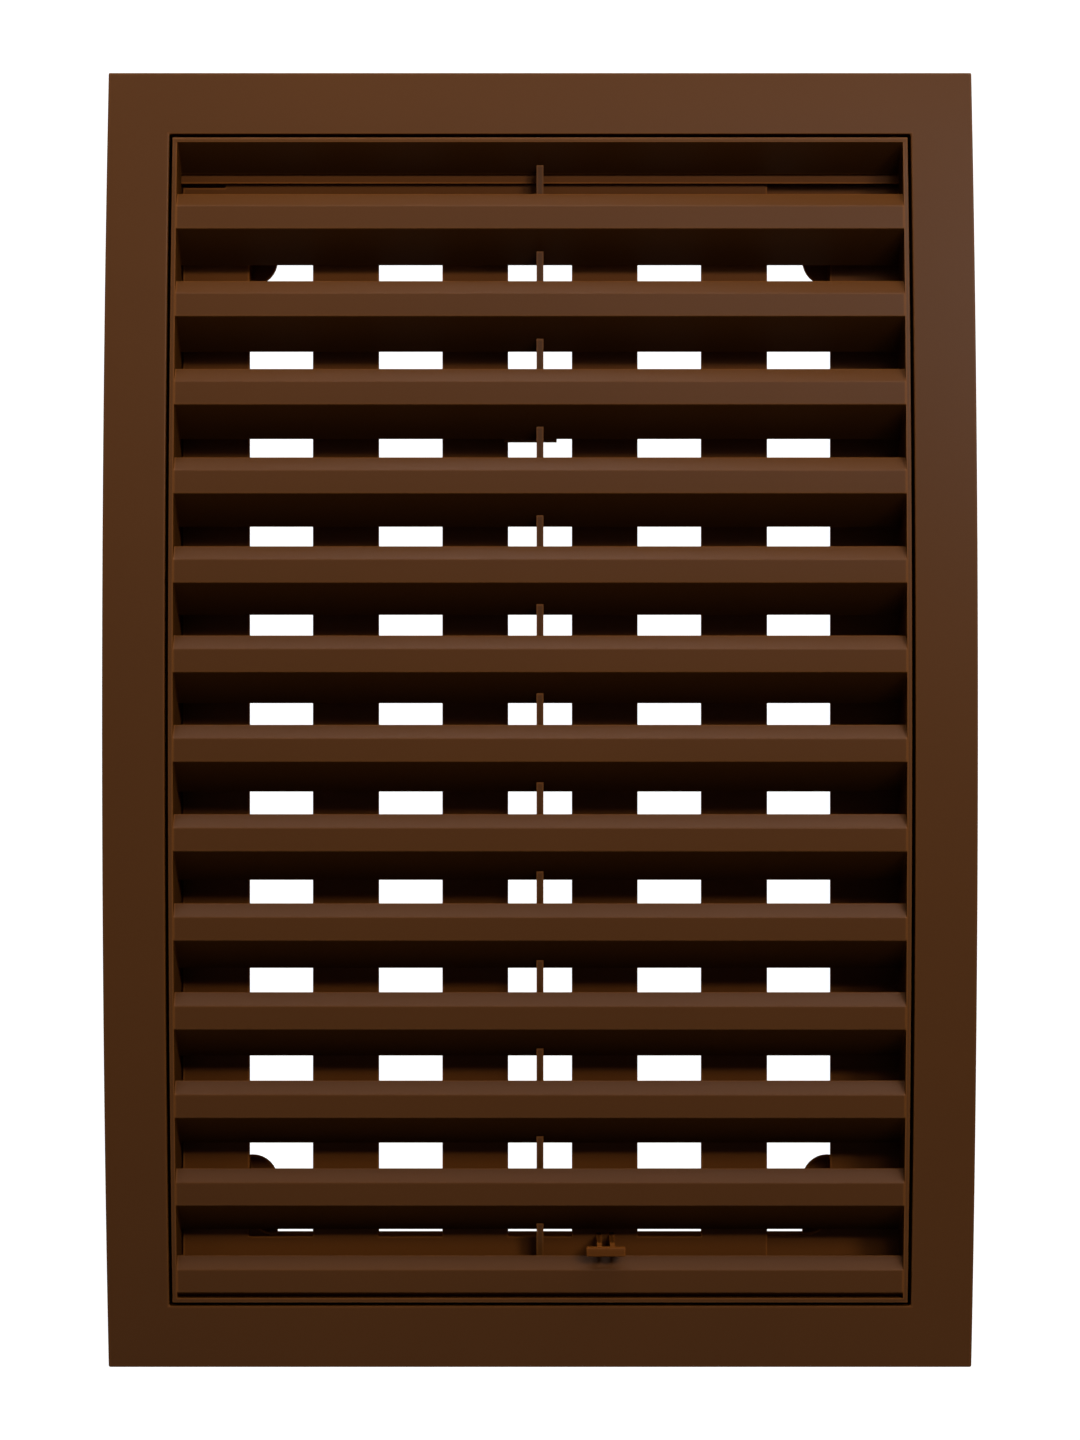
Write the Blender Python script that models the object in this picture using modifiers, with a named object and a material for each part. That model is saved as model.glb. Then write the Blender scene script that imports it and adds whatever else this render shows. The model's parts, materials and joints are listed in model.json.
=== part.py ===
# Adjustable vent grille: bowed surface frame, lift-out louvre insert and sliding shutter.
# Metres, +Z up, the room side faces -Y, the wall is the plane y = 0.
import math

import bmesh
import bpy
from mathutils import Matrix

# Outer frame
FRAME_WIDTH = 0.200
FRAME_HEIGHT = 0.300
BOW = 0.0141
SIDE_BORDER = 0.0143
END_BORDER = 0.0146
SKIRT_WALL = 0.0018
SKIN = 0.0020
THROAT_WALL = 0.0016
WEB_WALL = 0.0012
WEB_SETBACK = 0.0020
LEAST_WEB_PITCH = 0.034
BOW_STEPS = 36

# Louvre insert
INSERT_GAP = 0.00075
RIM_WALL = 0.0011
SLOPE_STOP = 0.0004
TOP_ROW = 0.02038
BOTTOM_SLOT = 0.00134
LEAST_PITCH = 0.0204
LIP_HEIGHT = 0.0053
CHAMFER_HEIGHT = 0.0032
CHAMFER_DEPTH = 0.00257
VANE_DEPTH = 0.0127
VANE_SLOPE = math.radians(29.3)
BLADE_WALL = 0.0012
RIB_WALL = 0.0016
RIB_SPINE = 0.0016
RIB_SETBACK = 0.0079
GRIP_HEIGHT = 0.0004
GRIP_WIDTH = 0.0030
GRIP_FROM_END = 0.0512
GRIP_SETBACK = 0.0090
FINGER_WIDTH = 0.0122
FINGER_SHIFT = 0.0022
FINGER_DROP = 0.0036
FINGER_LAP = 0.0013
FINGER_TIE = 3

# Guide rails for the shutter
LEDGE_DEPTH = 0.0011
LEDGE_REACH = 0.0099
TONGUE = 0.0018

# Shutter and rear lattice
SHUTTER_WALL = 0.0015
LATTICE_WALL = 0.0014
COLUMNS = 5
LEAST_ROW = 0.0200
SEAL_LAP = 0.0002
END_ROOM = 0.00217
FIELD_MARGIN = 0.0144
TIE_HEIGHT = 0.0040
END_WALL = 0.0014
WEB_RADIUS = 0.0066
WEB_STEPS = 8
NOTCH_LENGTH = 0.0098
NOTCH_DROP = 0.0027
BOSS_RADIUS = 0.0059
BOSS_HEIGHT = 0.0068
BOSS_FLOOR = 0.0026
BOSS_INSET = 0.0002
PILOT_RADIUS = 0.0016
PILOT_DEPTH = 0.0022
BOSS_STEPS = 16
PILOT_STEPS = 24

# Shutter knob
TAB_WIDTH = 0.0091
TAB_PROUD = 0.0025
TAB_DEPTH = 0.0022
TAB_HEIGHT = 0.0022
TAB_LIFT = 0.00026
PRONG_WALL = 0.00105
PRONG_PITCH = 0.0030
PRONG_RISE = 0.0007
PRONG_SLOT = 0.0006

# Clearances and edge radii: pieces that slide keep GAP, pieces that are fixed keep SEAT
GAP = 0.0003
SEAT = 0.00002
EDGE = 0.0004
FINE_EDGE = 0.00025
CORNER = 2 * EDGE
SHARP_ABOVE = math.radians(50)
MOST_OF_SIDE = 0.45

# Cutters reach this far past what they cut
PAST = 0.020

# Sizes that follow from the ones above, first those seen from the front
HALF_WIDTH = FRAME_WIDTH / 2
HALF_HEIGHT = FRAME_HEIGHT / 2
BOW_RADIUS = (HALF_HEIGHT ** 2 + BOW ** 2) / (2 * BOW)
OPEN_X = HALF_WIDTH - SIDE_BORDER
OPEN_Z = HALF_HEIGHT - END_BORDER
INSERT_X = OPEN_X - INSERT_GAP
INSERT_Z = OPEN_Z - INSERT_GAP
ROOM_X = INSERT_X - RIM_WALL
ROOM_Z = INSERT_Z - RIM_WALL
LAST_LIP = -ROOM_Z + BOTTOM_SLOT
FIRST_LIP = ROOM_Z - TOP_ROW
BLADE_COUNT = 1 + int((FIRST_LIP - LAST_LIP) / LEAST_PITCH)
PITCH = (FIRST_LIP - LAST_LIP) / (BLADE_COUNT - 1)
LEDGE_EDGE = OPEN_Z - LEDGE_REACH
SHUTTER_Z = LEDGE_EDGE + TONGUE
FIELD_Z = OPEN_Z - FIELD_MARGIN
ROWS = int(2 * FIELD_Z / LEAST_ROW)
ROW_PITCH = 2 * FIELD_Z / ROWS
COLUMN_PITCH = (OPEN_X - END_ROOM - SEAL_LAP / 2) / (COLUMNS / 2 + 0.25)
WINDOW = COLUMN_PITCH / 2 - SEAL_LAP
TRAVEL = COLUMN_PITCH / 2
FIELD_X = (COLUMNS - 1) / 2 * COLUMN_PITCH + WINDOW / 2
SHUTTER_HALF = FIELD_X + SEAL_LAP
SHUTTER_LEFT = -SHUTTER_HALF - TRAVEL
SHUTTER_RIGHT = SHUTTER_HALF - TRAVEL

# Depths are counted rearward from the foremost line of the bow
RIM_BACK = BOW_RADIUS - math.sqrt(BOW_RADIUS ** 2 - FIRST_LIP ** 2) + VANE_DEPTH + RIB_SPINE
LEDGE_FRONT = RIM_BACK + GAP
LEDGE_BACK = LEDGE_FRONT + LEDGE_DEPTH
SHUTTER_FRONT = LEDGE_BACK + GAP
SHUTTER_BACK = SHUTTER_FRONT + SHUTTER_WALL
LATTICE_FRONT = SHUTTER_BACK + GAP
LATTICE_BACK = LATTICE_FRONT + LATTICE_WALL
FRAME_DEPTH = LATTICE_BACK + BOSS_HEIGHT


def clear_scene():
    for item in list(bpy.data.objects):
        bpy.data.objects.remove(item, do_unlink=True)


def make_collection(name, hidden):
    group = bpy.data.collections.new(name)
    bpy.context.scene.collection.children.link(group)
    group.hide_render = hidden
    return group


def material(name, colour, roughness):
    mat = bpy.data.materials.new(name)
    mat.use_nodes = True
    shader = mat.node_tree.nodes["Principled BSDF"]
    shader.inputs["Base Color"].default_value = (*colour, 1.0)
    shader.inputs["Roughness"].default_value = roughness
    shader.inputs["Metallic"].default_value = 0.0
    return mat


def y_at(depth):
    return depth - FRAME_DEPTH


def bow(z):
    # The front is an arc that falls back by BOW at the frame's ends.
    return BOW_RADIUS - math.sqrt(BOW_RADIUS ** 2 - z ** 2)


def add_mesh(name, bm, group, mat=None):
    bmesh.ops.recalc_face_normals(bm, faces=bm.faces)
    mesh = bpy.data.meshes.new(name)
    bm.to_mesh(mesh)
    bm.free()
    item = bpy.data.objects.new(name, mesh)
    group.objects.link(item)
    if mat:
        mesh.materials.append(mat)
    else:
        item.hide_render = True
        item.display_type = "WIRE"
    return item


def box_object(name, x_span, depth_span, z_span, group, mat=None):
    bm = bmesh.new()
    bmesh.ops.create_cube(bm, size=1.0)
    size = (x_span[1] - x_span[0], depth_span[1] - depth_span[0], z_span[1] - z_span[0])
    middle = (sum(x_span) / 2, y_at(sum(depth_span) / 2), sum(z_span) / 2)
    bmesh.ops.scale(bm, vec=size, verts=bm.verts)
    bmesh.ops.translate(bm, vec=middle, verts=bm.verts)
    return add_mesh(name, bm, group, mat)


def box_set(name, spans, depth_span, group):
    # One cutter made of boxes that stand apart, each given by its (x, z) spans.
    bm = bmesh.new()
    for x_span, z_span in spans:
        size = (x_span[1] - x_span[0], depth_span[1] - depth_span[0], z_span[1] - z_span[0])
        middle = (sum(x_span) / 2, y_at(sum(depth_span) / 2), sum(z_span) / 2)
        place = Matrix.Translation(middle) @ Matrix.Diagonal((*size, 1.0))
        bmesh.ops.create_cube(bm, size=1.0, matrix=place)
    return add_mesh(name, bm, group)


def outline_object(name, loop, thickness, place, group, mat=None):
    # A flat closed loop is filled and given a thickness, then placed in space.
    curve = bpy.data.curves.new(name + "_outline", "CURVE")
    curve.dimensions = "2D"
    curve.fill_mode = "BOTH"
    curve.extrude = thickness / 2
    spline = curve.splines.new("POLY")
    spline.points.add(len(loop) - 1)
    for point, (u, v) in zip(spline.points, loop):
        point.co = (u, v, 0.0, 1.0)
    spline.use_cyclic_u = True
    holder = bpy.data.objects.new(name + "_outline", curve)
    group.objects.link(holder)
    bpy.context.view_layer.update()
    solid = bpy.data.meshes.new_from_object(holder)
    bpy.data.objects.remove(holder, do_unlink=True)
    bpy.data.curves.remove(curve)
    bm = bmesh.new()
    bm.from_mesh(solid)
    bpy.data.meshes.remove(solid)
    bmesh.ops.remove_doubles(bm, verts=bm.verts, dist=1e-6)
    bmesh.ops.transform(bm, matrix=place, verts=bm.verts)
    return add_mesh(name, bm, group, mat)


def side_profile(name, loop, x_span, group, mat=None):
    # The loop is drawn as (depth, z) and runs across the width.
    place = Matrix(((0, 0, 1, sum(x_span) / 2), (1, 0, 0, y_at(0)), (0, 1, 0, 0), (0, 0, 0, 1)))
    return outline_object(name, loop, x_span[1] - x_span[0], place, group, mat)


def flat_plate(name, loop, depth_span, group, mat=None):
    # The loop is drawn as (x, z) and runs along the depth.
    place = Matrix(((1, 0, 0, 0), (0, 0, -1, y_at(sum(depth_span) / 2)), (0, 1, 0, 0), (0, 0, 0, 1)))
    return outline_object(name, loop, depth_span[1] - depth_span[0], place, group, mat)


def rectangle(u_span, v_span):
    return [(u_span[0], v_span[0]), (u_span[1], v_span[0]),
            (u_span[1], v_span[1]), (u_span[0], v_span[1])]


def rounded(loop, radius, corners=None, steps=2):
    # The corners asked for, or all, become short arcs whose ends lie one radius from them.
    result = []
    count = len(loop)
    for index, (u, v) in enumerate(loop):
        if corners is not None and index not in corners:
            result.append((u, v))
            continue
        ends = []
        for other in (loop[index - 1], loop[(index + 1) % count]):
            length = math.hypot(other[0] - u, other[1] - v)
            reach = min(radius, length * MOST_OF_SIDE) / length
            ends.append((u + (other[0] - u) * reach, v + (other[1] - v) * reach))
        for step in range(steps + 1):
            t = step / steps
            a = (1 - t) ** 2
            b = 2 * t * (1 - t)
            c = t ** 2
            result.append((a * ends[0][0] + b * u + c * ends[1][0],
                           a * ends[0][1] + b * v + c * ends[1][1]))
    return result


def thick_path(points, thickness):
    # A bent strip: the points are its near side, the far side lies to their left.
    far = []
    for index, point in enumerate(points):
        normals = []
        for a, b in ((index - 1, index), (index, index + 1)):
            if a < 0 or b >= len(points):
                continue
            du = points[b][0] - points[a][0]
            dv = points[b][1] - points[a][1]
            length = math.hypot(du, dv)
            normals.append((-dv / length, du / length))
        nu = sum(n[0] for n in normals)
        nv = sum(n[1] for n in normals)
        scale = thickness * len(normals) / (nu ** 2 + nv ** 2)
        far.append((point[0] + nu * scale, point[1] + nv * scale))
    return list(points) + far[::-1]


def bowed_loop(half_z, setback, back_depth):
    front = []
    for step in range(BOW_STEPS + 1):
        z = half_z - 2 * half_z * step / BOW_STEPS
        front.append((bow(z) + setback, z))
    return front + [(back_depth, -half_z), (back_depth, half_z)]


def apply_boolean(target, operation, tool):
    step = target.modifiers.new("Shape", "BOOLEAN")
    step.operation = operation
    step.solver = "EXACT"
    step.object = tool


def round_edges(target, radius, segments=2):
    step = target.modifiers.new("Edges", "BEVEL")
    step.limit_method = "ANGLE"
    step.angle_limit = SHARP_ABOVE
    step.width = radius
    step.segments = segments


def web_places(half_length):
    # Even steps along one side of the border, none at its corners.
    count = int(2 * half_length / LEAST_WEB_PITCH)
    return [half_length * ((2 * index + 1) / count - 1) for index in range(count)]


def build_frame(parts, cutters, mat):
    frame = side_profile("mounting_frame", bowed_loop(HALF_HEIGHT, 0.0, FRAME_DEPTH),
                         (-HALF_WIDTH, HALF_WIDTH), parts, mat)
    hollow_x = HALF_WIDTH - SKIRT_WALL
    hollow = side_profile("frame_hollow", bowed_loop(HALF_HEIGHT - SKIRT_WALL, SKIN, FRAME_DEPTH + PAST),
                          (-hollow_x, hollow_x), cutters)
    throat = box_object("frame_throat", (-OPEN_X - THROAT_WALL, OPEN_X + THROAT_WALL),
                        (-PAST, FRAME_DEPTH + 2 * PAST), (-OPEN_Z - THROAT_WALL, OPEN_Z + THROAT_WALL),
                        cutters)
    # What is taken from the hollow stays in the frame: the throat and the border's webs.
    apply_boolean(hollow, "DIFFERENCE", throat)
    side_steps = web_places(OPEN_Z)
    side_webs = [((-HALF_WIDTH, HALF_WIDTH), (z - WEB_WALL / 2, z + WEB_WALL / 2)) for z in side_steps]
    end_steps = web_places(OPEN_X)
    end_webs = [((x - WEB_WALL / 2, x + WEB_WALL / 2), (-HALF_HEIGHT, HALF_HEIGHT)) for x in end_steps]
    web_depth = (0.0, FRAME_DEPTH - WEB_SETBACK)
    apply_boolean(hollow, "DIFFERENCE", box_set("side_webs", side_webs, web_depth, cutters))
    apply_boolean(hollow, "DIFFERENCE", box_set("end_webs", end_webs, web_depth, cutters))
    opening = box_object("frame_opening", (-OPEN_X, OPEN_X), (-PAST, FRAME_DEPTH + PAST),
                         (-OPEN_Z, OPEN_Z), cutters)
    apply_boolean(frame, "DIFFERENCE", opening)
    round_edges(frame, EDGE)
    apply_boolean(frame, "DIFFERENCE", hollow)


def window_spans(columns, rows):
    spans = []
    for column in columns:
        x = column * COLUMN_PITCH
        for row in rows:
            top = FIELD_Z if row == 0 else FIELD_Z - (row - 0.5) * ROW_PITCH - TIE_HEIGHT / 2
            low = -FIELD_Z if row == ROWS else FIELD_Z - (row + 0.5) * ROW_PITCH + TIE_HEIGHT / 2
            spans.append(((x - WINDOW / 2, x + WINDOW / 2), (low, top)))
    return spans


def corner_window_loop(side, end):
    # The four outermost windows have one well rounded corner each.
    near = FIELD_Z - (ROW_PITCH - TIE_HEIGHT) / 2
    loop = [(side * (FIELD_X - WINDOW), end * near), (side * (FIELD_X - WINDOW), end * FIELD_Z)]
    for step in range(WEB_STEPS + 1):
        angle = math.pi / 2 * (1 - step / WEB_STEPS)
        loop.append((side * (FIELD_X - WEB_RADIUS + WEB_RADIUS * math.cos(angle)),
                     end * (FIELD_Z - WEB_RADIUS + WEB_RADIUS * math.sin(angle))))
    return loop + [(side * FIELD_X, end * near)]


def build_lattice(parts, cutters, mat):
    edge_x = OPEN_X - SEAT
    edge_z = OPEN_Z - SEAT
    outline = rounded(rectangle((-edge_x, edge_x), (-edge_z, edge_z)), CORNER)
    lattice = flat_plate("rear_lattice", outline, (LATTICE_FRONT, LATTICE_BACK), parts, mat)
    start = LATTICE_FRONT + LATTICE_WALL / 2
    corners = [(side, end) for side in (-1, 1) for end in (-1, 1)]
    # A boss stands behind the inner corner of each outermost tie, out to the plate's edge.
    boss_x = FIELD_X - BOSS_INSET
    boss_z = FIELD_Z - (ROW_PITCH + TIE_HEIGHT) / 2 - BOSS_INSET
    for side, end in corners:
        loop = [(side * (boss_x + BOSS_RADIUS), end * edge_z)]
        for step in range(BOSS_STEPS + 1):
            angle = math.pi * step / BOSS_STEPS
            loop.append((side * (boss_x + BOSS_RADIUS * math.cos(angle)),
                         end * (boss_z - BOSS_RADIUS * math.sin(angle))))
        loop.append((side * (boss_x - BOSS_RADIUS), end * edge_z))
        apply_boolean(lattice, "UNION", flat_plate("corner_boss", loop, (start, FRAME_DEPTH), cutters))
    # A wall runs behind each end of the window field, from boss to boss.
    for end in (-1, 1):
        z_span = sorted((end * (FIELD_Z + SEAT), end * (FIELD_Z + END_WALL)))
        wall = box_object("end_wall", (-boss_x, boss_x), (start, FRAME_DEPTH), z_span, cutters)
        apply_boolean(lattice, "UNION", wall)
    # The windows cut into the bosses as well, down to the floor of each.
    through = (LATTICE_FRONT - PAST, FRAME_DEPTH - BOSS_FLOOR)
    last = (COLUMNS - 1) // 2
    spans = window_spans(range(1 - last, last), range(ROWS + 1))
    spans += window_spans((-last, last), range(1, ROWS))
    apply_boolean(lattice, "DIFFERENCE", box_set("lattice_windows", spans, through, cutters))
    for side, end in corners:
        window = flat_plate("corner_window", corner_window_loop(side, end), through, cutters)
        apply_boolean(lattice, "DIFFERENCE", window)
        bm = bmesh.new()
        turn = Matrix.Rotation(math.radians(90), 4, "X")
        bmesh.ops.create_cone(bm, cap_ends=True, segments=PILOT_STEPS, radius1=PILOT_RADIUS,
                              radius2=PILOT_RADIUS, depth=2 * PILOT_DEPTH,
                              matrix=Matrix.Translation((side * boss_x, 0.0, end * boss_z)) @ turn)
        apply_boolean(lattice, "DIFFERENCE", add_mesh("boss_pilot", bm, cutters))


def build_guides(parts, cutters, mat):
    edge_x = OPEN_X - SEAT
    edge_z = OPEN_Z - SEAT
    back = LATTICE_FRONT - SEAT
    for name, end in (("top_guide_rail", 1), ("bottom_guide_rail", -1)):
        near = end * LEDGE_EDGE
        slot = end * (SHUTTER_Z + GAP)
        far = end * edge_z
        ledge = rounded(rectangle((-edge_x, edge_x), (near, far)), CORNER, corners=(2, 3))
        rail = flat_plate(name, ledge, (LEDGE_FRONT, LEDGE_BACK), parts, mat)
        # Behind the ledge a spacer leaves the shutter's slot, closed by a stop at each end.
        stops = (SHUTTER_LEFT - GAP, SHUTTER_HALF + GAP)
        spacer = [(-edge_x, near), (stops[0], near), (stops[0], slot), (stops[1], slot),
                  (stops[1], near), (edge_x, near), (edge_x, far), (-edge_x, far)]
        spacer = rounded(spacer, CORNER, corners=(6, 7))
        apply_boolean(rail, "UNION", flat_plate("rail_spacer", spacer,
                                                (LEDGE_FRONT + LEDGE_DEPTH / 2, back), cutters))


def build_shutter(parts, cutters, mat):
    corner = SHUTTER_LEFT + NOTCH_LENGTH
    shoulder = SHUTTER_Z - NOTCH_DROP
    outline = [(SHUTTER_LEFT, -SHUTTER_Z), (SHUTTER_RIGHT, -SHUTTER_Z), (SHUTTER_RIGHT, SHUTTER_Z),
               (corner + NOTCH_DROP / 2, SHUTTER_Z), (corner, shoulder), (SHUTTER_LEFT, shoulder)]
    shutter = flat_plate("shutter_plate", outline, (SHUTTER_FRONT, SHUTTER_BACK), parts, mat)
    last = (COLUMNS - 1) // 2
    holes = window_spans(range(-last, last), range(ROWS + 1))
    low = knob_floor() - SEAT
    top = knob_floor() + TAB_HEIGHT + PRONG_RISE + PRONG_SLOT
    for x in prong_centres():
        holes.append(((x - PRONG_WALL / 2 - SEAT, x + PRONG_WALL / 2 + SEAT), (low, top)))
    through = (SHUTTER_FRONT - PAST, SHUTTER_BACK + PAST)
    apply_boolean(shutter, "DIFFERENCE", box_set("shutter_windows", holes, through, cutters))


def prong_centres():
    middle = COLUMN_PITCH / 2
    return (middle - PRONG_PITCH / 2, middle + PRONG_PITCH / 2)


def knob_floor():
    return LAST_LIP + LIP_HEIGHT + CHAMFER_HEIGHT + TAB_LIFT


def build_knob(parts, cutters, mat):
    low = knob_floor()
    top = low + TAB_HEIGHT
    middle = COLUMN_PITCH / 2
    front = bow((low + top) / 2) - TAB_PROUD
    knob = box_object("shutter_knob", (middle - TAB_WIDTH / 2, middle + TAB_WIDTH / 2),
                      (front, front + TAB_DEPTH), (low, top), parts, mat)
    round_edges(knob, EDGE)
    for x in prong_centres():
        prong = box_object("knob_prong", (x - PRONG_WALL / 2, x + PRONG_WALL / 2),
                           (front + TAB_DEPTH / 2, SHUTTER_BACK), (low, top + PRONG_RISE), cutters)
        apply_boolean(knob, "UNION", prong)


def build_rim(parts, cutters, mat):
    rim = side_profile("grille_rim", bowed_loop(INSERT_Z, 0.0, RIM_BACK),
                       (-INSERT_X, INSERT_X), parts, mat)
    room = box_object("rim_room", (-ROOM_X, ROOM_X), (-PAST, RIM_BACK + PAST),
                      (-ROOM_Z, ROOM_Z), cutters)
    wall_middle = INSERT_X - RIM_WALL / 2
    slope = side_profile("rim_slope", top_slope_loop(), (-wall_middle, wall_middle), cutters)
    round_edges(rim, FINE_EDGE)
    apply_boolean(rim, "DIFFERENCE", room)
    apply_boolean(rim, "UNION", slope)
    for side in (-1, 1):
        for end in (-1, 1):
            z = end * (INSERT_Z - GRIP_FROM_END)
            x_span = sorted((side * wall_middle, side * (INSERT_X + GRIP_HEIGHT)))
            grip = box_object("rim_grip", x_span, (bow(z) + GRIP_SETBACK, RIM_BACK - RIM_WALL),
                              (z - GRIP_WIDTH / 2, z + GRIP_WIDTH / 2), cutters)
            apply_boolean(rim, "UNION", grip)


def top_slope_loop():
    # A sloped strip falls to the rear from the rim's top wall, whose middle its root lies in.
    front = bow(ROOM_Z)
    back = RIM_BACK - SLOPE_STOP
    slope = math.tan(VANE_SLOPE)
    low = ROOM_Z - (back - front) * slope
    high = low + BLADE_WALL / math.cos(VANE_SLOPE)
    root = ROOM_Z + RIM_WALL / 2
    heel = back - (ROOM_Z - high) / slope
    return [(front, ROOM_Z), (back, low), (back, high), (heel, ROOM_Z), (heel, root), (front, root)]


def blade_lip(index):
    return FIRST_LIP - index * PITCH


def blade_loop(index):
    low = blade_lip(index)
    mid = low + LIP_HEIGHT
    top = mid + CHAMFER_HEIGHT
    points = [(bow(top) + CHAMFER_DEPTH, top), (bow(mid), mid), (bow(low), low)]
    if index < BLADE_COUNT - 1:
        fall = VANE_DEPTH * math.tan(VANE_SLOPE)
        points.append((bow(low) + VANE_DEPTH, low - fall))
        return rounded(thick_path(points, BLADE_WALL), FINE_EDGE)
    # The last blade ends on the rim's bottom wall instead of in a full vane.
    run = BOTTOM_SLOT / math.tan(VANE_SLOPE)
    points.append((bow(low) + run, low - BOTTOM_SLOT))
    loop = thick_path(points, BLADE_WALL)
    loop[3] = (loop[3][0], -ROOM_Z + SEAT)
    loop[4] = (loop[3][0] + BLADE_WALL / math.sin(VANE_SLOPE), -ROOM_Z + SEAT)
    return rounded(loop, FINE_EDGE, corners=(0, 1, 2, 5, 6, 7))


def build_blades(parts, mat):
    for index in range(BLADE_COUNT):
        side_profile("blade_%02d" % (index + 1), blade_loop(index), (SEAT - ROOM_X, ROOM_X - SEAT),
                     parts, mat)


def build_rib(parts, cutters, mat):
    rib = side_profile("centre_rib", bowed_loop(ROOM_Z - SEAT, RIB_SETBACK, RIM_BACK),
                       (-RIB_WALL / 2, RIB_WALL / 2), parts, mat)
    span = (-RIB_WALL, RIB_WALL)
    slope = math.tan(VANE_SLOPE)
    shift = GAP / math.cos(VANE_SLOPE)
    for index in range(BLADE_COUNT - 1):
        low = blade_lip(index)
        front = bow(low)
        back = front + VANE_DEPTH + GAP + BLADE_WALL * math.sin(VANE_SLOPE)
        thickness = BLADE_WALL / math.cos(VANE_SLOPE) + 2 * shift
        floor = low - shift
        loop = [(front, floor), (back, floor - (back - front) * slope),
                (back, floor - (back - front) * slope + thickness), (front, floor + thickness)]
        apply_boolean(rib, "DIFFERENCE", side_profile("rib_slot", loop, span, cutters))
    # The rib stops short of the rim's sloped strip.
    front = bow(ROOM_Z) - PAST
    back = bow(ROOM_Z) + PAST
    floor = ROOM_Z - shift
    loop = [(front, floor + PAST * slope), (back, floor - PAST * slope),
            (back, ROOM_Z + PAST), (front, ROOM_Z + PAST)]
    apply_boolean(rib, "DIFFERENCE", side_profile("rib_top_cut", loop, span, cutters))
    # A finger on the rib keeps one tie of the shutter from bowing forward.
    tie_low = FIELD_Z - (FINGER_TIE - 0.5) * ROW_PITCH - TIE_HEIGHT / 2
    middle = -FINGER_SHIFT
    finger = box_object("rib_finger", (middle - FINGER_WIDTH / 2, middle + FINGER_WIDTH / 2),
                        (RIM_BACK - 2 * RIB_WALL, LEDGE_BACK),
                        (tie_low - FINGER_DROP, tie_low + FINGER_LAP), cutters)
    apply_boolean(rib, "UNION", finger)


def main():
    clear_scene()
    parts = make_collection("adjustable_vent_grille", False)
    cutters = make_collection("cutters", True)
    brown = (0.085, 0.028, 0.0050)
    inner = (0.080, 0.026, 0.0045)
    frame_mat = material("brown_frame_plastic", brown, 0.42)
    insert_mat = material("brown_insert_plastic", brown, 0.40)
    inner_mat = material("brown_inner_plastic", inner, 0.48)
    build_frame(parts, cutters, frame_mat)
    build_lattice(parts, cutters, inner_mat)
    build_guides(parts, cutters, inner_mat)
    build_shutter(parts, cutters, inner_mat)
    build_knob(parts, cutters, inner_mat)
    build_rim(parts, cutters, insert_mat)
    build_blades(parts, insert_mat)
    build_rib(parts, cutters, insert_mat)


main()
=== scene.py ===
import json
import math

import bpy
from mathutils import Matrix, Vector

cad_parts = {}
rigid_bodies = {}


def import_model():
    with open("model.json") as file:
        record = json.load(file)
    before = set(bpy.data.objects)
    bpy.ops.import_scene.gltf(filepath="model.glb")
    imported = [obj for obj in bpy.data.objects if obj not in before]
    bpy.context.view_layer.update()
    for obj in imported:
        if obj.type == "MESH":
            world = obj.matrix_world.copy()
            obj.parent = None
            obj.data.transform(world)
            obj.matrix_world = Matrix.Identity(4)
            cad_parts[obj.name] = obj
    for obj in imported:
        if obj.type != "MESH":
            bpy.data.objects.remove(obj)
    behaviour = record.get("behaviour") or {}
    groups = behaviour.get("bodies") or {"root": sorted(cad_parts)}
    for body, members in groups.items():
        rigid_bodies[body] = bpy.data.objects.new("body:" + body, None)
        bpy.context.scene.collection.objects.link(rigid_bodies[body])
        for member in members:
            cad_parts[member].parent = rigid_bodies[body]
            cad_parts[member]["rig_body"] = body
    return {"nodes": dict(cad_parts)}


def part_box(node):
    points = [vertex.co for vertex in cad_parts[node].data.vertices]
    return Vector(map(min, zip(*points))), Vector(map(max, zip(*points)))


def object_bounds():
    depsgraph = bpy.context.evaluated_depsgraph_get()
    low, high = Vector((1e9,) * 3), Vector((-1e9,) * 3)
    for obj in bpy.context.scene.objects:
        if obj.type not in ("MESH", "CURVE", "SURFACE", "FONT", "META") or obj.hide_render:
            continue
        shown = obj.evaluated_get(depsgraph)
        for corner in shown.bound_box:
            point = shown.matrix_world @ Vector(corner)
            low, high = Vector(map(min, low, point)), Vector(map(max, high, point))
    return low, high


# The view: the camera stands square to the front, this far from its foremost line
VIEW_DISTANCE = 0.900
PIXELS_PER_METRE = 4382.5
IMAGE_HEIGHT = 1440
SENSOR = 36.0

# Corners closer than this are one, and an edge is sharp where two faces turn by more than this
SAME_POINT = 1e-6
SMOOTH_BELOW = math.radians(32)

# Plastic colours, linear; the inner brown is a lighter copy of the same brown, painted light for the
# light that falls on the shutter and the pieces behind it
BROWN = (0.0850, 0.0275, 0.0045)
BROWN_INNER_PAINTED_LIGHT = (0.1120, 0.0330, 0.0048)
PLASTIC_IOR = 1.49

# Plastics by what wears them: name, colour, gloss level, roughness, strength of the mould texture
PLASTICS = {
    "frame": ("frame_plastic", BROWN, 0.11, 0.42, 0.25),
    "grille": ("insert_plastic", BROWN, 0.11, 0.41, 0.25),
    # The shutter and the inner pieces wear the lighter copy of the brown: painted light
    "shutter": ("shutter_plastic", BROWN_INNER_PAINTED_LIGHT, 0.05, 0.44, 0.35),
    "inner": ("inner_plastic", BROWN_INNER_PAINTED_LIGHT, 0.05, 0.46, 0.40),
}
INNER_PIECES = ("rear_lattice", "top_guide_rail", "bottom_guide_rail")

# The gloss is whole up to the first turn away from the eye and gone from the second on
GLOSS_WHOLE = 0.12
GLOSS_GONE = 0.45

# Pigment drift: noise scale, detail, where the ramp starts and ends, and its share of the colour
DRIFT_SCALE = 14.0
DRIFT_DETAIL = 3.0
DRIFT_RAMP = (0.3, 0.7)
DRIFT_SHARE = 0.04

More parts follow.
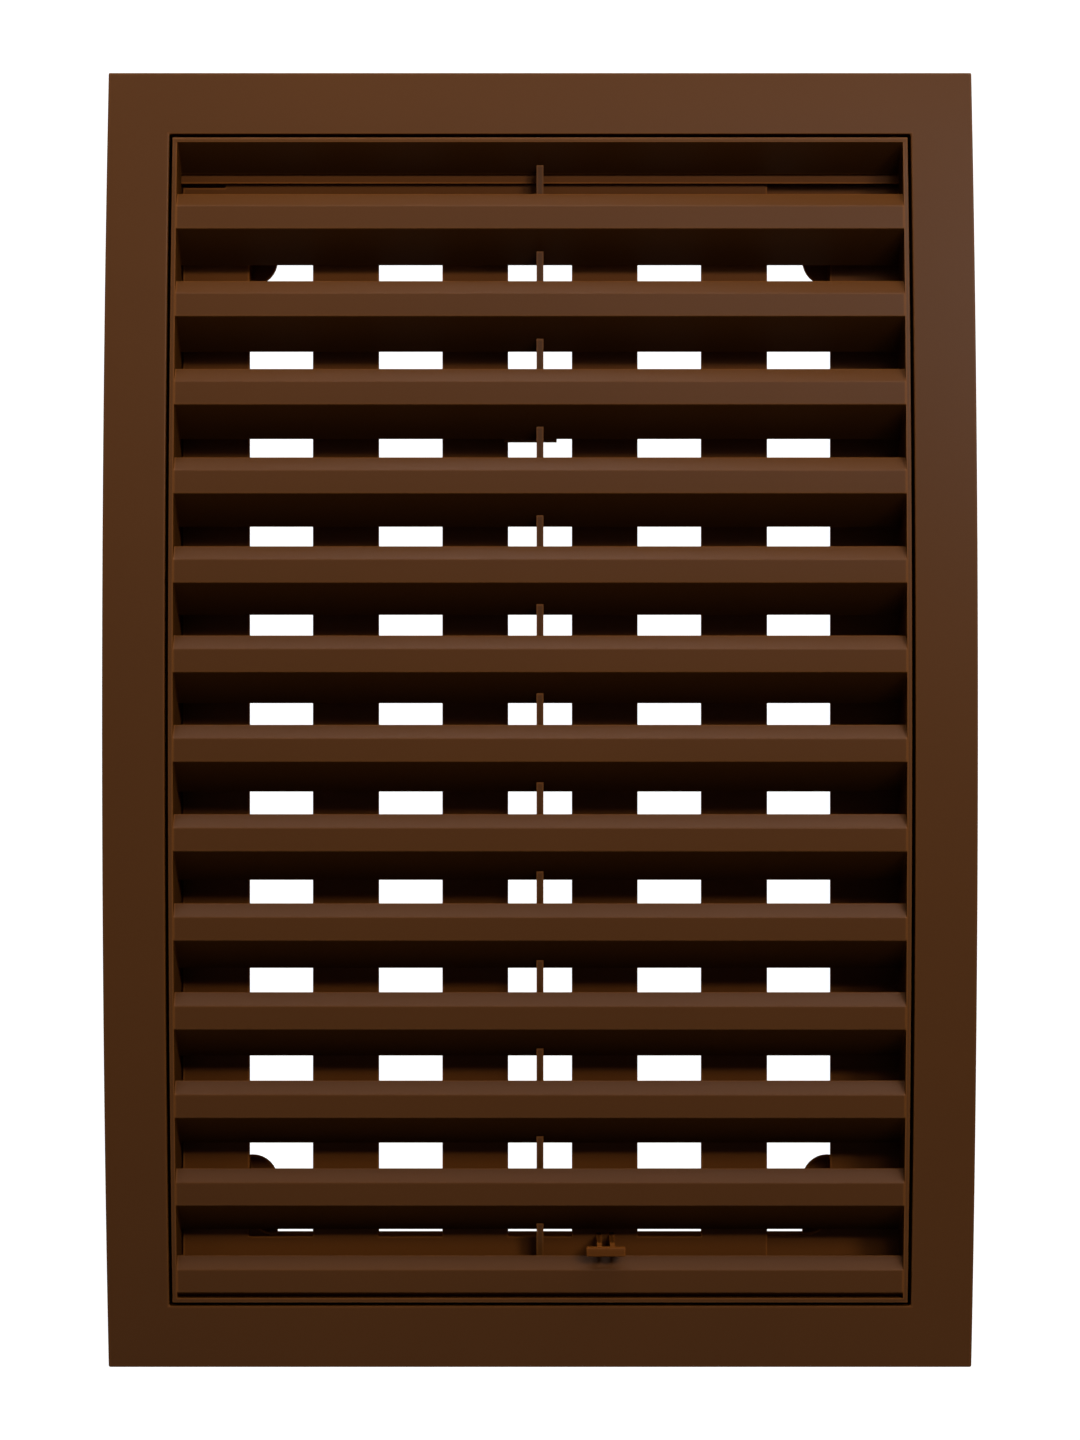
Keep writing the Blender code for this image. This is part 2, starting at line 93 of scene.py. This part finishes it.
# Mould texture: noise scale, detail, its share in the roughness, and its depth
GRAIN_SCALE = 900.0
GRAIN_DETAIL = 2.0
GRAIN_ROUGHNESS = 0.03
GRAIN_DEPTH = 0.00004

# Painted highlight along outer edges, in place of the gloss a rounded edge catches: the colour is
# raised over this radius, by this factor where the rounded normal leans most
EDGE_HIGHLIGHT_RADIUS = 0.0008
EDGE_HIGHLIGHT_SAMPLES = 8
EDGE_HIGHLIGHT_TONE = 1.9
EDGE_HIGHLIGHT_STARTS = 0.998
EDGE_HIGHLIGHT_FULL = 0.92

# Lamps: name, azimuth to the right of the camera, elevation, distance, size, power in watts
LAMPS = (
    ("key", 30, 23, 2.4, 0.53, 19.6),
    ("low_middle", 15, 26, 1.6, 0.35, 3.6),
    ("near_middle", 15, 21, 0.8, 0.18, 0.28),
    ("low_left", -30, 23, 2.4, 0.53, 2.15),
    ("high_right", 40, 68, 1.6, 0.35, 6.5),
    ("side_right", 62, 50, 0.8, 0.18, 0.58),
    ("high_left", -50, 68, 0.8, 0.18, 0.71),
    ("high_middle", -15, 68, 1.6, 0.35, 1.8),
    ("top", 0, 85, 0.6, 0.13, 0.94),
    ("back_right", 150, -4, 1.0, 0.30, 3.2),
    ("back_left", -150, -4, 1.0, 0.30, 3.2),
)
WORLD_GREY = 0.0

# The studio: the grille hangs as on a wall, above a floor and in front of a backdrop
FLOOR_DROP = 0.85
FLOOR_SIZE = 4.0
FLOOR_GLOW = 0.8
BACKDROP_Y = 1.2
BACKDROP_SIZE = 6.0
GROUND_GREY = 0.35


def smooth_group():
    # Geometry nodes that weld the corners and shade all but the sharp edges smooth.
    group = bpy.data.node_groups.new("smooth_by_angle", "GeometryNodeTree")
    group.interface.new_socket("Geometry", in_out="INPUT", socket_type="NodeSocketGeometry")
    group.interface.new_socket("Geometry", in_out="OUTPUT", socket_type="NodeSocketGeometry")
    nodes = group.nodes
    enter = nodes.new("NodeGroupInput")
    leave = nodes.new("NodeGroupOutput")
    weld = nodes.new("GeometryNodeMergeByDistance")
    weld.inputs["Distance"].default_value = SAME_POINT
    soft = nodes.new("GeometryNodeSetShadeSmooth")
    soft.domain = "FACE"
    angle = nodes.new("GeometryNodeInputMeshEdgeAngle")
    above = nodes.new("FunctionNodeCompare")
    above.operation = "GREATER_THAN"
    above.inputs[1].default_value = SMOOTH_BELOW
    sharp = nodes.new("GeometryNodeSetShadeSmooth")
    sharp.domain = "EDGE"
    sharp.inputs["Shade Smooth"].default_value = False
    link = group.links.new
    link(enter.outputs[0], weld.inputs["Geometry"])
    link(weld.outputs["Geometry"], soft.inputs["Geometry"])
    link(soft.outputs["Geometry"], sharp.inputs["Geometry"])
    link(angle.outputs["Unsigned Angle"], above.inputs[0])
    link(above.outputs["Result"], sharp.inputs["Selection"])
    link(sharp.outputs["Geometry"], leave.inputs[0])
    return group


def edge_highlight_mask(tree):
    # Mask of the painted edge highlight: 0 on flat and hollow places, rising to 1 at an outer edge.
    round_off = tree.nodes.new("ShaderNodeBevel")
    round_off.samples = EDGE_HIGHLIGHT_SAMPLES
    round_off.inputs["Radius"].default_value = EDGE_HIGHLIGHT_RADIUS
    plain = tree.nodes.new("ShaderNodeNewGeometry")
    turn = tree.nodes.new("ShaderNodeVectorMath")
    turn.operation = "DOT_PRODUCT"
    mask = tree.nodes.new("ShaderNodeMapRange")
    mask.inputs["From Min"].default_value = EDGE_HIGHLIGHT_STARTS
    mask.inputs["From Max"].default_value = EDGE_HIGHLIGHT_FULL
    link = tree.links.new
    link(round_off.outputs["Normal"], turn.inputs[0])
    link(plain.outputs["True Normal"], turn.inputs[1])
    link(turn.outputs["Value"], mask.inputs["Value"])
    return mask.outputs["Result"]


def plastic(name, colour, level, roughness, grain):
    mat = bpy.data.materials.new(name)
    mat.use_nodes = True
    tree = mat.node_tree
    shader = tree.nodes["Principled BSDF"]
    shader.inputs["Metallic"].default_value = 0.0
    shader.inputs["IOR"].default_value = PLASTIC_IOR
    # The finely textured skin shows its gloss face on and loses it at a flat angle
    facing = tree.nodes.new("ShaderNodeLayerWeight")
    facing.inputs["Blend"].default_value = 0.5
    shine = tree.nodes.new("ShaderNodeMapRange")
    shine.inputs["From Min"].default_value = GLOSS_WHOLE
    shine.inputs["From Max"].default_value = GLOSS_GONE
    shine.inputs["To Min"].default_value = level
    shine.inputs["To Max"].default_value = 0.0
    place = tree.nodes.new("ShaderNodeTexCoord")
    # Slow drift of pigment through the moulding
    cloud = tree.nodes.new("ShaderNodeTexNoise")
    cloud.inputs["Scale"].default_value = DRIFT_SCALE
    cloud.inputs["Detail"].default_value = DRIFT_DETAIL
    tint = tree.nodes.new("ShaderNodeValToRGB")
    for stop, position, share in zip(tint.color_ramp.elements, DRIFT_RAMP, (-DRIFT_SHARE, DRIFT_SHARE)):
        stop.position = position
        stop.color = (*(c * (1.0 + share) for c in colour), 1.0)
    # Painted highlight: the colour is raised along outer edges
    painted_highlight = tree.nodes.new("ShaderNodeMix")
    painted_highlight.data_type = "RGBA"
    painted_highlight.blend_type = "MULTIPLY"
    painted_highlight.clamp_factor = True
    painted_highlight.inputs["B"].default_value = (EDGE_HIGHLIGHT_TONE, EDGE_HIGHLIGHT_TONE, EDGE_HIGHLIGHT_TONE, 1.0)
    # Fine mould texture in the gloss and the surface
    fine = tree.nodes.new("ShaderNodeTexNoise")
    fine.inputs["Scale"].default_value = GRAIN_SCALE
    fine.inputs["Detail"].default_value = GRAIN_DETAIL
    gloss = tree.nodes.new("ShaderNodeMapRange")
    gloss.inputs["To Min"].default_value = roughness - GRAIN_ROUGHNESS
    gloss.inputs["To Max"].default_value = roughness + GRAIN_ROUGHNESS
    bump = tree.nodes.new("ShaderNodeBump")
    bump.inputs["Strength"].default_value = grain
    bump.inputs["Distance"].default_value = GRAIN_DEPTH
    link = tree.links.new
    link(place.outputs["Object"], cloud.inputs["Vector"])
    link(place.outputs["Object"], fine.inputs["Vector"])
    link(cloud.outputs["Fac"], tint.inputs["Fac"])
    # The edge mask raises the colour: a painted highlight on outer edges
    link(edge_highlight_mask(tree), painted_highlight.inputs["Factor"])
    link(tint.outputs["Color"], painted_highlight.inputs["A"])
    link(painted_highlight.outputs["Result"], shader.inputs["Base Color"])
    link(facing.outputs["Facing"], shine.inputs["Value"])
    link(shine.outputs["Result"], shader.inputs["Specular IOR Level"])
    link(fine.outputs["Fac"], gloss.inputs["Value"])
    link(gloss.outputs["Result"], shader.inputs["Roughness"])
    link(fine.outputs["Fac"], bump.inputs["Height"])
    link(bump.outputs["Normal"], shader.inputs["Normal"])
    return mat


def dress(frame):
    group = smooth_group()
    mats = {key: plastic(*values) for key, values in PLASTICS.items()}
    for name, node in frame["nodes"].items():
        key = "inner" if name in INNER_PIECES else node["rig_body"]
        for place in node.material_slots:
            place.material = mats[key]
        step = node.modifiers.new("smooth_by_angle", "NODES")
        step.node_group = group
        even = node.modifiers.new("even_normals", "WEIGHTED_NORMAL")
        even.keep_sharp = True


def seen_directly(tree):
    # 1 for what the camera, gloss and glass see, 0 for light that falls on the object.
    path = tree.nodes.new("ShaderNodeLightPath")
    mirrored = tree.nodes.new("ShaderNodeMath")
    mirrored.operation = "MAXIMUM"
    seen = tree.nodes.new("ShaderNodeMath")
    seen.operation = "MAXIMUM"
    tree.links.new(path.outputs["Is Glossy Ray"], mirrored.inputs[0])
    tree.links.new(path.outputs["Is Transmission Ray"], mirrored.inputs[1])
    tree.links.new(path.outputs["Is Camera Ray"], seen.inputs[0])
    tree.links.new(mirrored.outputs[0], seen.inputs[1])
    return seen.outputs[0]


def white_ground(name, glow_level):
    # A pale surface that keeps shadows; what the camera, gloss and glass see of it is raised to white.
    mat = bpy.data.materials.new(name)
    mat.use_nodes = True
    tree = mat.node_tree
    tree.nodes.clear()
    out = tree.nodes.new("ShaderNodeOutputMaterial")
    both = tree.nodes.new("ShaderNodeAddShader")
    level = tree.nodes.new("ShaderNodeMath")
    level.operation = "MULTIPLY"
    level.inputs[1].default_value = glow_level
    glow = tree.nodes.new("ShaderNodeEmission")
    glow.inputs["Color"].default_value = (1.0, 1.0, 1.0, 1.0)
    plain = tree.nodes.new("ShaderNodeBsdfDiffuse")
    plain.inputs["Color"].default_value = (GROUND_GREY, GROUND_GREY, GROUND_GREY, 1.0)
    link = tree.links.new
    link(seen_directly(tree), level.inputs[0])
    link(level.outputs[0], glow.inputs["Strength"])
    link(plain.outputs[0], both.inputs[0])
    link(glow.outputs[0], both.inputs[1])
    link(both.outputs[0], out.inputs["Surface"])
    return mat


def build_stage(low):
    upright = (math.radians(90), 0.0, 0.0)
    for name, size, place, turn, glow_level in (
            ("floor", FLOOR_SIZE, (0.0, 0.0, low.z - FLOOR_DROP), (0.0, 0.0, 0.0), FLOOR_GLOW),
            ("backdrop", BACKDROP_SIZE, (0.0, BACKDROP_Y, 0.0), upright, 1.0)):
        bpy.ops.mesh.primitive_plane_add(size=size, location=place, rotation=turn)
        sheet = bpy.context.object
        sheet.name = name
        sheet.data.materials.append(white_ground("studio_" + name, glow_level))


def build_lamps(target):
    for name, azimuth, elevation, distance, size, power in LAMPS:
        a = math.radians(azimuth)
        e = math.radians(elevation)
        offset = Vector((math.sin(a) * math.cos(e), -math.cos(a) * math.cos(e), math.sin(e)))
        data = bpy.data.lights.new(name, "AREA")
        data.shape = "DISK"
        data.size = size
        data.energy = power
        lamp = bpy.data.objects.new(name, data)
        lamp.location = target + offset * distance
        lamp.rotation_euler = (-offset).to_track_quat("-Z", "Y").to_euler()
        bpy.context.scene.collection.objects.link(lamp)


def build_world():
    world = bpy.data.worlds.new("studio")
    bpy.context.scene.world = world
    world.use_nodes = True
    tree = world.node_tree
    back = tree.nodes["Background"]
    back.inputs["Color"].default_value = (1.0, 1.0, 1.0, 1.0)
    level = tree.nodes.new("ShaderNodeMapRange")
    level.inputs["To Min"].default_value = WORLD_GREY
    level.inputs["To Max"].default_value = 1.0
    tree.links.new(seen_directly(tree), level.inputs["Value"])
    tree.links.new(level.outputs["Result"], back.inputs["Strength"])


def build_camera(front):
    data = bpy.data.cameras.new("camera")
    data.sensor_width = SENSOR
    data.lens = PIXELS_PER_METRE * VIEW_DISTANCE / IMAGE_HEIGHT * SENSOR
    camera = bpy.data.objects.new("camera", data)
    camera.location = (0.0, front.y - VIEW_DISTANCE, 0.0)
    camera.rotation_euler = (math.radians(90), 0.0, 0.0)
    bpy.context.scene.collection.objects.link(camera)
    bpy.context.scene.camera = camera


def main():
    for item in list(bpy.data.objects):
        bpy.data.objects.remove(item, do_unlink=True)
    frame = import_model()
    low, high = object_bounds()
    dress(frame)
    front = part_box("mounting_frame")[0]
    build_stage(low)
    build_lamps((low + high) / 2)
    build_world()
    build_camera(front)
    bpy.context.scene.view_settings.view_transform = "Standard"


main()
